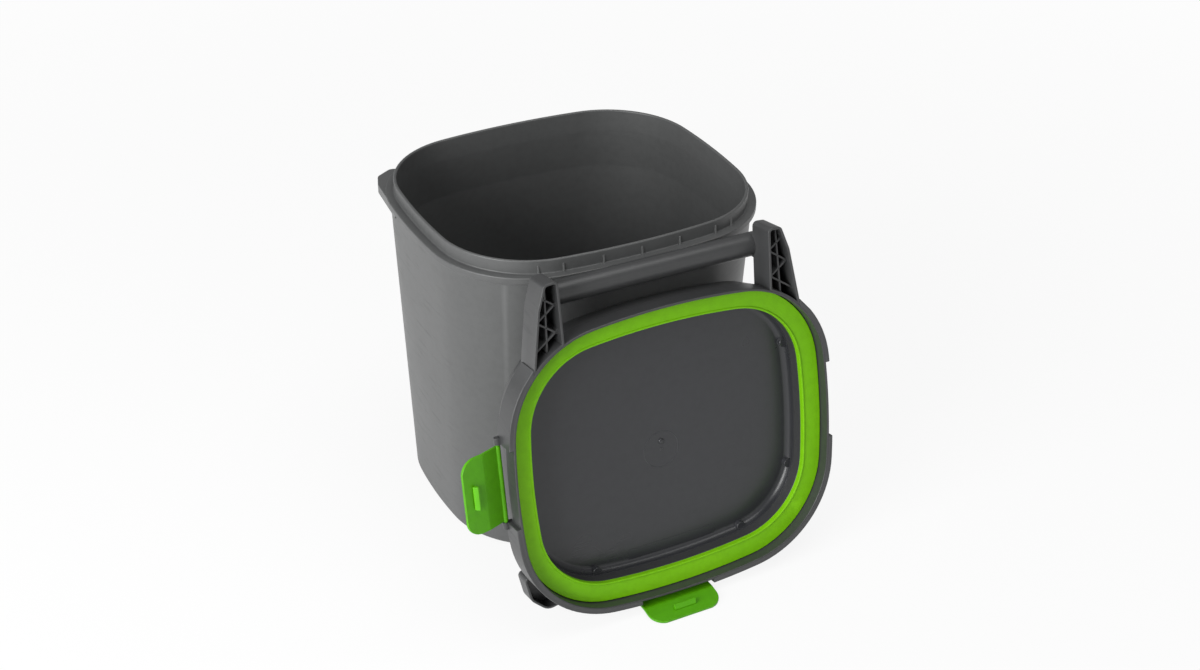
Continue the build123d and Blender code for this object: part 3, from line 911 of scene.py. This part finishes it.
def make_lid_ring():
    form = Form(lid_rest)
    tray_foot = seal_thickness - tray_in_seal
    profile = rounded(
        (
            (skirt_reach, skirt_low, skirt_edge),
            (skirt_reach, skirt_straight, skirt_outer_bend),
            (skirt_at(lid_top - lid_top_drop), lid_top, lid_top_round),
            (-tray_inset, lid_top, border_round),
            (-tray_inset, tray_foot, tray_foot_round),
            (lid_wall - tray_inset, tray_foot, tray_foot_round),
            (lid_wall - tray_inset, border_low, border_round),
            (skirt_at(border_low) - lid_wall, border_low, border_round),
            (skirt_reach - lid_wall, skirt_straight, skirt_inner_bend),
            (skirt_reach - lid_wall, skirt_low, skirt_edge),
        )
    )
    form.loft([at_height(neck.ring(reach), z) for reach, z in profile], closed=True)
    corners = with_rounds(lug_points, lug_rounds)
    sides, rear = LATCHES["latch_left"], LATCHES["latch_rear"]
    half = sides["width"] / 2 + notch_side_gap
    rear_half = rear["width"] / 2 + notch_side_gap
    for side in (-1, 1):
        outgrowth(form, corners, (side, 1), lug_low, lid_top - lug_below_top)
        edge_band(form, (side, 1), half + sides["y"], rear_half + side * rear["x"])
        edge_band(form, (side, -1), half - sides["y"], arm_points[4][0])
    for name in LATCHES:
        for side in (-1, 1):
            knuckle(form, name, side)
    form.piece("lid_ring", "lid", charcoal_lid, "charcoal_plastic", "lid_shell")


def make_lid_panel():
    """The tray's floor with a soft cove at its wall, a moulding nub and faint ejector marks."""
    form = Form(lid_rest)
    profile = rounded(
        (
            (-tray_inset - cap_inset, panel_high, 0.0),
            (-tray_inset + cove_overlap, panel_high, panel_edge),
            (-tray_inset + cove_overlap, panel_low - cove_height, cove_edge),
            (-tray_inset - cove_overlap, panel_low - cove_height, cove_edge),
            (-tray_inset - cove_foot, panel_low, cove_round),
            (-tray_inset - cap_inset, panel_low, 0.0),
        ),
        closed=False,
        steps=6,
    )
    form.loft([at_height(neck.ring(reach), z) for reach, z in profile])
    down = (0, 0, -1)
    form.rod((*nub_place, panel_low + mark_foot), down, nub_profile)
    form.rod((*dot_place, panel_low + mark_foot), down, dot_profile)
    ridge = (
        (mark_ring - mark_ring_half_width, panel_low + mark_foot),
        (mark_ring, panel_low - mark_ring_rise),
        (mark_ring + mark_ring_half_width, panel_low + mark_foot),
    )
    circles = [at_height(circle(radius, wide_circle_steps), z) for radius, z in ridge]
    form.loft(circles, closed=True, place=Matrix.Translation((*dot_place, 0.0)))
    field = rounded([(x, y, field_round) for x, y in field_points])
    form.loft(prism_loops(field, panel_low - field_rise, panel_low + field_foot, field_edge))
    for x, y in ejector_places:
        for side in (-1, 1):
            for end in (-1, 1):
                foot_place = (side * x, end * y, panel_low + ejector_foot)
                form.rod(foot_place, down, ejector_profile, small_circle_steps)
    form.piece("lid_tray", "lid", charcoal_tray_painted_shade, "charcoal_plastic", "lid_panel")


def make_lid_handle():
    form = Form(lid_rest)
    corners = with_rounds(arm_points, arm_rounds)
    for side in (-1, 1):
        outgrowth(form, corners, (side, -1), arm_low, arm_high)
        arm_ribs(form, corners, side)
        near, far = side * (arm_points[1][0] - seat_overlap), side * bar_end
        front, back = -bar_forward - bar_radius, -bar_forward + bar_radius
        places = ((near, front), (far, front), (far, back), (near, back))
        seat = rounded([(x, y, seat_corner) for x, y in places])
        form.loft(prism_loops(seat, arm_high - top_thickness / 2, bar_height, seat_edge))
    left = [(along, bar_radius - step) for along, step in bar_end_steps]
    right = [(2 * bar_end - along, radius) for along, radius in reversed(left)]
    form.rod((-bar_end, -bar_forward, bar_height), (1, 0, 0), left + right, wide_circle_steps)
    form.piece("lid_grip", "lid", charcoal_lid, "charcoal_plastic", "lid_handle")


def make_lid_seal():
    """The ring seal: a nearly flat face with a thin raised lip along its inner edge."""
    form = Form(lid_rest)
    profile = rounded(
        (
            (seal_outer, seal_outer_depth, seal_outer_round),
            (seal_outer, seal_thickness, seal_back_round),
            (seal_inner, seal_thickness, seal_back_round),
            (seal_inner, 0.0, seal_lip_round),
            (seal_inner + seal_lip_width, 0.0, seal_lip_round),
            (seal_inner + seal_dip_place, seal_dip_depth, seal_dip_round),
            (seal_outer - seal_face_inset, seal_face_depth, seal_face_round),
        )
    )
    form.loft([at_height(neck.ring(reach), z) for reach, z in profile], closed=True)
    form.piece("lid_ring_seal", "lid", lime_seal, "lime_rubber", "lid_seal")


def make_latch(name):
    """A clip latch, drawn closed: hinge along X, plate hanging down, outside towards +Y."""
    width = LATCHES[name]["width"]
    opened = math.radians(-min(JOINTS[name + "_hinge"]["range_deg"]))
    form = Form(lid_rest @ latch_place(name) @ Matrix.Rotation(opened, 4, "X"))
    inner = latch_face_gap - latch_hinge_out
    outer = inner + latch_thickness
    slope = math.tan(math.radians(latch_lip_angle))

    def bent(z):
        return max(0.0, -z - latch_bend) * slope

    heights = [*latch_rows, -latch_bend + latch_bend_step, -latch_bend, -latch_bend - latch_bend_step]
    turns = [math.pi / 2 * step / latch_corner_steps for step in range(latch_corner_steps)]
    heights += [-latch_length + latch_corner * (1 - math.sin(turn)) for turn in turns]
    heights += [-latch_length + latch_tip_edge, -latch_length]
    loops = []
    for z in heights:
        run = max(0.0, -z - latch_length + latch_corner)
        half = width / 2 - latch_corner + math.sqrt(max(0.0, latch_corner**2 - run**2))
        thin = latch_edge if z == -latch_length else 0.0
        back, front = inner + thin, outer - thin
        places = ((-half, back), (half, back), (half, front), (-half, front))
        section = rounded([(x, y, latch_edge) for x, y in places], steps=2)
        loops.append([(x, y + bent(z), z) for x, y in section])
    form.loft(loops)
    pins = width + 2 * trunnion_length
    barrel = edged_rod(width, barrel_radius, latch_edge)
    trunnions = edged_rod(pins, trunnion_radius, trunnion_edge)
    form.rod((-width / 2, 0, 0), (1, 0, 0), barrel, small_circle_steps)
    form.rod((-pins / 2, 0, 0), (1, 0, 0), trunnions, small_circle_steps)
    catch_top = flange_low - bin_height - closed_gap - catch_gap - latch_hinge_height
    tip = -latch_hinge_out - catch_overlap
    catch = rounded(
        (
            (tip, catch_top, catch_edge),
            (tip, catch_top - catch_height / 2, catch_tip_round),
            (inner, catch_top - catch_height, 0.0),
            (outer - catch_in_plate, catch_top - catch_height, 0.0),
            (outer - catch_in_plate, catch_top, 0.0),
        )
    )
    across = directed((-catch_width / 2, 0, 0), (1, 0, 0), (0, 1, 0))
    form.loft(prism_loops(catch, 0.0, catch_width, catch_edge), place=across)
    form.piece(name + "_clip", name, lime_latch, "lime_plastic", name)


make_bin()
make_lid_ring()
make_lid_panel()
make_lid_handle()
make_lid_seal()
for latch_name in LATCHES:
    make_latch(latch_name)

NODE_FINISH = {
    "drain_grid": grid_grey,
    "tap_body": tap_black,
    "tap_nut": tap_black,
    "tap_clip": tap_black,
    "tap_plug": lime_latch,
    "tap_seal_outer": seal_black,
    "tap_seal_inner": seal_black,
    "tap_plug_seal": seal_black,
}
for node_name, finish in NODE_FINISH.items():
    node = frame["nodes"][node_name]
    if not node.material_slots:
        node.data.materials.append(finish)
    for material_slot in node.material_slots:
        material_slot.material = finish


def make_floor():
    """A pale floor that keeps a soft shadow near the object and turns white farther out."""
    mesh = bpy.data.meshes.new("floor")
    corners = [(floor_reach * x, floor_reach * y, 0) for x, y in ((-1, -1), (1, -1), (1, 1), (-1, 1))]
    mesh.from_pydata(corners, [], [(0, 1, 2, 3)])
    floor = bpy.data.objects.new("floor", mesh)
    bpy.context.scene.collection.objects.link(floor)
    floor.location.z = -floor_below_base
    material = bpy.data.materials.new("pale_floor")
    material.use_nodes = True
    tree = material.node_tree
    tree.nodes.clear()
    paper = tree.nodes.new("ShaderNodeBsdfDiffuse")
    paper.inputs["Color"].default_value = (floor_grey, floor_grey, floor_grey, 1.0)
    white = tree.nodes.new("ShaderNodeEmission")
    white.inputs["Strength"].default_value = 1.0
    path = tree.nodes.new("ShaderNodeLightPath")
    seen = tree.nodes.new("ShaderNodeMath")
    seen.operation = "MAXIMUM"
    link(tree, path, "Is Camera Ray", seen, 0)
    link(tree, path, "Is Glossy Ray", seen, 1)
    share = tree.nodes.new("ShaderNodeMath")
    share.operation = "MULTIPLY"
    link(tree, seen, "Value", share, 0)
    place = tree.nodes.new("ShaderNodeTexCoord")
    away = tree.nodes.new("ShaderNodeVectorMath")
    away.operation = "LENGTH"
    link(tree, place, "Object", away, 0)
    fade = tree.nodes.new("ShaderNodeMapRange")
    fade.inputs["From Min"].default_value = floor_white_near
    fade.inputs["From Max"].default_value = floor_white_far
    fade.inputs["To Min"].default_value = floor_white_share
    fade.inputs["To Max"].default_value = 1.0
    link(tree, away, "Value", fade, "Value")
    link(tree, fade, "Result", share, 1)
    blend = tree.nodes.new("ShaderNodeMixShader")
    link(tree, share, "Value", blend, "Fac")
    link(tree, paper, "BSDF", blend, 1)
    link(tree, white, "Emission", blend, 2)
    output = tree.nodes.new("ShaderNodeOutputMaterial")
    link(tree, blend, "Shader", output, "Surface")
    mesh.materials.append(material)


def make_world():
    """Even pale light, and plain white where the camera looks past the floor."""
    world = bpy.data.worlds.new("studio")
    bpy.context.scene.world = world
    world.use_nodes = True
    tree = world.node_tree
    tree.nodes.clear()
    path = tree.nodes.new("ShaderNodeLightPath")
    light = tree.nodes.new("ShaderNodeBackground")
    light.inputs["Color"].default_value = (1.0, 1.0, 1.0, 1.0)
    light.inputs["Strength"].default_value = world_light
    white = tree.nodes.new("ShaderNodeBackground")
    white.inputs["Color"].default_value = (1.0, 1.0, 1.0, 1.0)
    blend = tree.nodes.new("ShaderNodeMixShader")
    link(tree, path, "Is Camera Ray", blend, "Fac")
    link(tree, light, "Background", blend, 1)
    link(tree, white, "Background", blend, 2)
    output = tree.nodes.new("ShaderNodeOutputWorld")
    link(tree, blend, "Shader", output, "Surface")


def make_lamp(name, place, target, width, power):
    lamp = bpy.data.lights.new(name, "AREA")
    lamp.shape = "SQUARE"
    lamp.size = width
    lamp.energy = power
    holder = bpy.data.objects.new(name, lamp)
    holder.location = place
    heading = Vector(target) - Vector(place)
    holder.rotation_euler = heading.to_track_quat("-Z", "Y").to_euler()
    bpy.context.scene.collection.objects.link(holder)


def make_camera():
    camera = bpy.data.cameras.new("camera")
    camera.lens = camera_lens
    camera.sensor_width = camera_sensor
    camera.shift_x, camera.shift_y = camera_shift
    holder = bpy.data.objects.new("camera", camera)
    holder.location = camera_place
    holder.rotation_euler = (math.radians(camera_pitch), 0.0, math.radians(camera_heading))
    bpy.context.scene.collection.objects.link(holder)
    bpy.context.scene.camera = holder


make_floor()
make_world()
for lamp_name, lamp_values in LAMPS.items():
    make_lamp(lamp_name, **lamp_values)
make_camera()
bpy.context.scene.view_settings.view_transform = "Standard"
